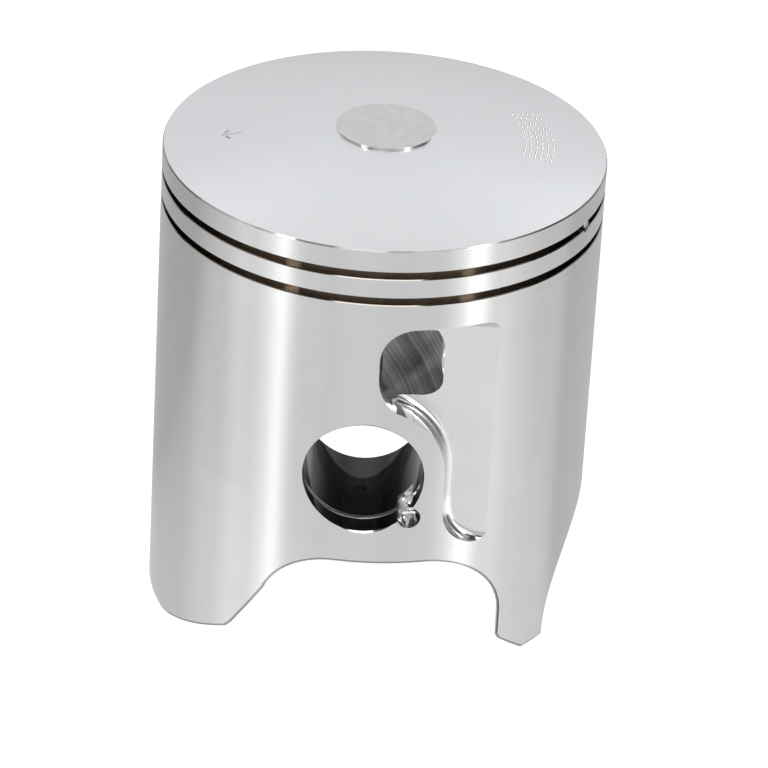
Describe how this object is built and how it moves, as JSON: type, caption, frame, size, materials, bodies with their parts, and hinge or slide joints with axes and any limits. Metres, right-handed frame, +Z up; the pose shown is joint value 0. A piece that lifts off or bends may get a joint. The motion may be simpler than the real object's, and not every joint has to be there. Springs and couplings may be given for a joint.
{
  "type": "two-stroke engine piston",
  "caption": "Bare two-stroke motorcycle piston with two pinned ring grooves, a through gudgeon pin bore, side transfer pockets with windows and an arched skirt.",
  "frame": {"origin": "on the cylinder axis, level with the base of the exhaust skirt", "axes": "+Z up the cylinder axis to the crown, Y along the gudgeon pin, -X the exhaust side that the crown's arrow points to, +X the intake side"},
  "size_m": [0.0664, 0.0664, 0.0787],
  "materials": {
    "piston_aluminium": "fine turned aluminium, polished pocket walls, satin crown, forged grey hollow",
    "pin_steel": "ground steel"
  },
  "bodies": {
    "root": {"piston_body": "piston_aluminium", "upper_ring_locating_pin": "pin_steel", "lower_ring_locating_pin": "pin_steel"}
  },
  "joints": []
}
